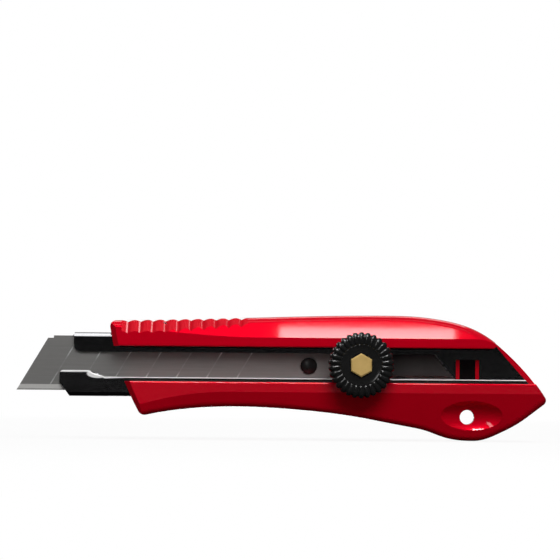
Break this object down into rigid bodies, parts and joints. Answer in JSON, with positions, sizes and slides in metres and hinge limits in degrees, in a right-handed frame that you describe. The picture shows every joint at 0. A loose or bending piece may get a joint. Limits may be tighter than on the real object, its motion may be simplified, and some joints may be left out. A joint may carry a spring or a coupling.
{
  "type": "snap-off utility knife",
  "caption": "Snap-off blade cutter: contoured red metal handle with rubber grip pad, steel blade holder, sliding 18 mm blade and a screw-locking thumb wheel.",
  "frame": {"origin": "centre of the lanyard hole, on the mid plane of the blade", "axes": "+X from the blade's tip towards the tail, +Z away from the cutting edge, the lock wheel faces -Y and the grip pad +Y"},
  "size_m": [0.1745, 0.0281, 0.0411],
  "materials": {
    "red_paint": "glossy metallic red over die-cast metal",
    "liner_black": "moulded, matte",
    "dark_chrome": "black-plated steel, polished",
    "grip_rubber": "soft elastomer, fine grain",
    "rim_black": "moulded, satin",
    "badge_red": "glossy red, bare",
    "screw_steel": "zinc plated",
    "slider_steel": "plain steel strip",
    "tail_black": "moulded, matte",
    "pin_black": "black, glossy",
    "blade_steel": "dark hardened steel, bright ground edge",
    "wheel_black": "moulded, glossy",
    "hex_brass": "matte brass"
  },
  "bodies": {
    "housing": {"back_shell": "red_paint", "upper_rail": "red_paint", "lower_rail": "red_paint", "upper_liner": "liner_black", "lower_liner": "liner_black", "blade_holder": "dark_chrome", "grip_pad": "grip_rubber", "badge_rim": "rim_black", "badge_plate": "badge_red", "shell_screws": "screw_steel", "holder_screws": "screw_steel", "locating_pins": "screw_steel"},
    "slider": {"slider_arm": "slider_steel", "clamp_plate": "slider_steel", "slider_tail": "tail_black", "blade_pin": "pin_black", "lock_stud": "screw_steel", "blade": "blade_steel"},
    "washer": {"thrust_washer": "slider_steel"},
    "wheel": {"lock_wheel": "wheel_black", "hex_insert": "hex_brass"}
  },
  "joints": [
    {"name": "blade_slide", "type": "slide", "parent": "housing", "child": "slider", "axis": [-1, 0, 0], "range_m": [-0.0165, 0.062]},
    {"name": "lock_lift", "type": "slide", "parent": "slider", "child": "washer", "axis": [0, -1, 0], "range_m": [0, 0.00071]},
    {"name": "wheel_turn", "type": "hinge", "parent": "washer", "child": "wheel", "pos_m": [-0.0351, 0, 0.01685], "axis": [0, -1, 0], "range_deg": [0, 360]}
  ],
  "couplings": [
    {"joint": "lock_lift", "follows": "wheel_turn", "m_per_rad": 0.00011141}
  ]
}
